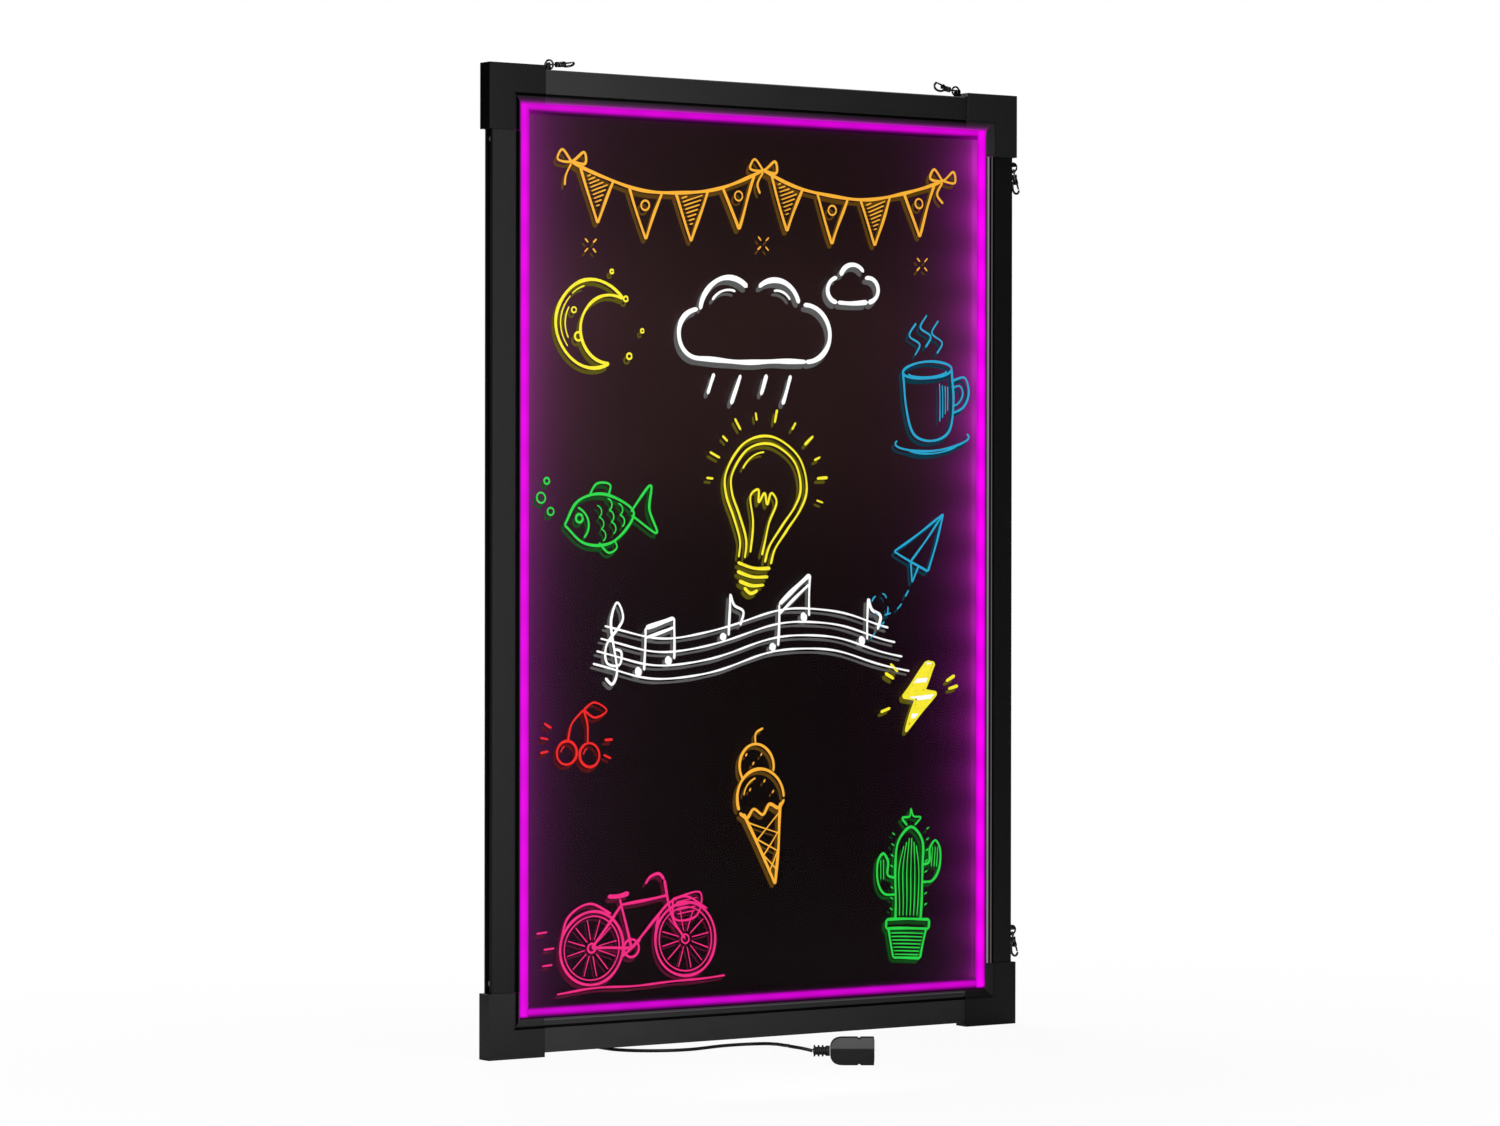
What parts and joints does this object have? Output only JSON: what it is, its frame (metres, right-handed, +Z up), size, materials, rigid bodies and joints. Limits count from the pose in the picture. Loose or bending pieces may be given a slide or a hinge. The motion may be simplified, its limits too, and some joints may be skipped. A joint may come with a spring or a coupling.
{
  "type": "led writing board",
  "caption": "Upright edge-lit writing board in an extruded frame with corner caps, glowing rim bars, snap-hook hangers and a short lead with a socket.",
  "frame": {"origin": "middle of the underside of the board and its hooks, without the lead, on the surface that it stands on", "axes": "+Z up along the long side, +X to the right and -Y out of the writing face"},
  "size_m": [0.4128, 0.2061, 0.616],
  "materials": {
    "black_anodised": "satin black anodised extrusion",
    "black_plastic": "fine-textured black moulding",
    "grey_plastic": "plain moulded nylon",
    "clear_acrylic": "polished clear acrylic with marker strokes",
    "black_backing": "gloss black film on a thin board",
    "light_diffuser": "glowing magenta diffuser",
    "light_tape": "white flexible tape with lamps",
    "wire_insulation": "red insulation",
    "bright_steel": "nickel-plated steel",
    "cord_rubber": "black soft jacket",
    "socket_plastic": "black moulded housing, slight sheen",
    "contact_plastic": "pale contact carrier"
  },
  "bodies": {
    "board": {"left_rail": "black_anodised", "top_rail": "black_anodised", "right_rail": "black_anodised", "bottom_rail": "black_anodised", "corner_cap_bottom_left": "black_plastic", "corner_cap_top_left": "black_plastic", "corner_cap_top_right": "black_plastic", "corner_cap_bottom_right": "black_plastic", "corner_key_bottom_left": "grey_plastic", "corner_key_top_left": "grey_plastic", "corner_key_top_right": "grey_plastic", "corner_key_bottom_right": "grey_plastic", "writing_sheet": "clear_acrylic", "backing_board": "black_backing", "light_bar_left": "light_diffuser", "light_bar_top": "light_diffuser", "light_bar_right": "light_diffuser", "light_bar_bottom": "light_diffuser", "light_strip_left": "light_tape", "light_strip_top": "light_tape", "light_strip_right": "light_tape", "light_strip_bottom": "light_tape", "strip_link_top_left": "light_tape", "strip_link_top_right": "light_tape", "strip_link_bottom_right": "light_tape", "feed_wire": "wire_insulation", "frame_screw_left_1": "bright_steel", "frame_screw_left_2": "bright_steel", "frame_screw_top_1": "bright_steel", "frame_screw_top_2": "bright_steel", "frame_screw_right_1": "bright_steel", "frame_screw_right_2": "bright_steel", "frame_screw_bottom_1": "bright_steel", "frame_screw_bottom_2": "bright_steel", "hook_bracket_top_left": "bright_steel", "hook_bracket_top_right": "bright_steel", "hook_bracket_right_upper": "bright_steel", "hook_bracket_right_lower": "bright_steel", "cord_gland": "cord_rubber", "supply_cord": "cord_rubber", "cord_strain_relief": "cord_rubber", "socket_housing": "socket_plastic", "socket_shell": "bright_steel", "socket_tongue": "contact_plastic"},
    "ring_top_left": {"hook_ring_top_left": "bright_steel"},
    "eye_top_left": {"swivel_eye_top_left": "bright_steel"},
    "hook_top_left": {"snap_hook_top_left": "bright_steel"},
    "gate_top_left": {"hook_gate_top_left": "bright_steel"},
    "ring_top_right": {"hook_ring_top_right": "bright_steel"},
    "eye_top_right": {"swivel_eye_top_right": "bright_steel"},
    "hook_top_right": {"snap_hook_top_right": "bright_steel"},
    "gate_top_right": {"hook_gate_top_right": "bright_steel"},
    "ring_right_upper": {"hook_ring_right_upper": "bright_steel"},
    "eye_right_upper": {"swivel_eye_right_upper": "bright_steel"},
    "hook_right_upper": {"snap_hook_right_upper": "bright_steel"},
    "gate_right_upper": {"hook_gate_right_upper": "bright_steel"},
    "ring_right_lower": {"hook_ring_right_lower": "bright_steel"},
    "eye_right_lower": {"swivel_eye_right_lower": "bright_steel"},
    "hook_right_lower": {"snap_hook_right_lower": "bright_steel"},
    "gate_right_lower": {"hook_gate_right_lower": "bright_steel"}
  },
  "joints": [
    {"name": "ring_swing_top_left", "type": "hinge", "parent": "board", "child": "ring_top_left", "pos_m": [-0.16129, 0, 0.6106], "axis": [0, -1, 0], "range_deg": [-3, 132]},
    {"name": "eye_swing_top_left", "type": "hinge", "parent": "ring_top_left", "child": "eye_top_left", "pos_m": [-0.15715, 0, 0.61082], "axis": [-0.0523, 0, 0.9986], "range_deg": [-55, 55]},
    {"name": "hook_swivel_top_left", "type": "hinge", "parent": "eye_top_left", "child": "hook_top_left", "pos_m": [-0.15715, 0, 0.61082], "axis": [0.9986, 0, 0.0523], "continuous": true},
    {"name": "gate_hinge_top_left", "type": "hinge", "parent": "hook_top_left", "child": "gate_top_left", "pos_m": [-0.15043, -0.001, 0.61163], "axis": [-0.0474, 0.4226, 0.9051], "range_deg": [0, 25], "stiffness_Nm_per_rad": 0.004, "springref_deg": -14.32},
    {"name": "ring_swing_top_right", "type": "hinge", "parent": "board", "child": "ring_top_right", "pos_m": [0.15491, 0, 0.6106], "axis": [0, 1, 0], "range_deg": [-8, 127]},
    {"name": "eye_swing_top_right", "type": "hinge", "parent": "ring_top_right", "child": "eye_top_right", "pos_m": [0.1508, 0, 0.61118], "axis": [0.1392, 0, 0.9903], "range_deg": [-55, 55]},
    {"name": "hook_swivel_top_right", "type": "hinge", "parent": "eye_top_right", "child": "hook_top_right", "pos_m": [0.1508, 0, 0.61118], "axis": [-0.9903, 0, 0.1392], "continuous": true},
    {"name": "gate_hinge_top_right", "type": "hinge", "parent": "hook_top_right", "child": "gate_top_right", "pos_m": [0.14427, 0, 0.61321], "axis": [0, -1, 0], "range_deg": [0, 25], "stiffness_Nm_per_rad": 0.004, "springref_deg": -14.32},
    {"name": "ring_swing_right_upper", "type": "hinge", "parent": "board", "child": "ring_right_upper", "pos_m": [0.20101, 0, 0.5645], "axis": [0, -1, 0], "range_deg": [-8, 127]},
    {"name": "eye_swing_right_upper", "type": "hinge", "parent": "ring_right_upper", "child": "eye_right_upper", "pos_m": [0.20159, 0, 0.56039], "axis": [0.9903, 0, 0.1392], "range_deg": [-55, 55]},
    {"name": "hook_swivel_right_upper", "type": "hinge", "parent": "eye_right_upper", "child": "hook_right_upper", "pos_m": [0.20159, 0, 0.56039], "axis": [0.1392, 0, -0.9903], "continuous": true},
    {"name": "gate_hinge_right_upper", "type": "hinge", "parent": "hook_right_upper", "child": "gate_right_upper", "pos_m": [0.20362, 0, 0.55386], "axis": [0, 1, 0], "range_deg": [0, 25], "stiffness_Nm_per_rad": 0.004, "springref_deg": -14.32},
    {"name": "ring_swing_right_lower", "type": "hinge", "parent": "board", "child": "ring_right_lower", "pos_m": [0.20101, 0, 0.0626], "axis": [0, -1, 0], "range_deg": [-8, 127]},
    {"name": "eye_swing_right_lower", "type": "hinge", "parent": "ring_right_lower", "child": "eye_right_lower", "pos_m": [0.20159, 0, 0.05849], "axis": [0.9903, 0, 0.1392], "range_deg": [-55, 55]},
    {"name": "hook_swivel_right_lower", "type": "hinge", "parent": "eye_right_lower", "child": "hook_right_lower", "pos_m": [0.20159, 0, 0.05849], "axis": [0.1392, 0, -0.9903], "continuous": true},
    {"name": "gate_hinge_right_lower", "type": "hinge", "parent": "hook_right_lower", "child": "gate_right_lower", "pos_m": [0.20362, 0, 0.05196], "axis": [0, 1, 0], "range_deg": [0, 25], "stiffness_Nm_per_rad": 0.004, "springref_deg": -14.32}
  ]
}
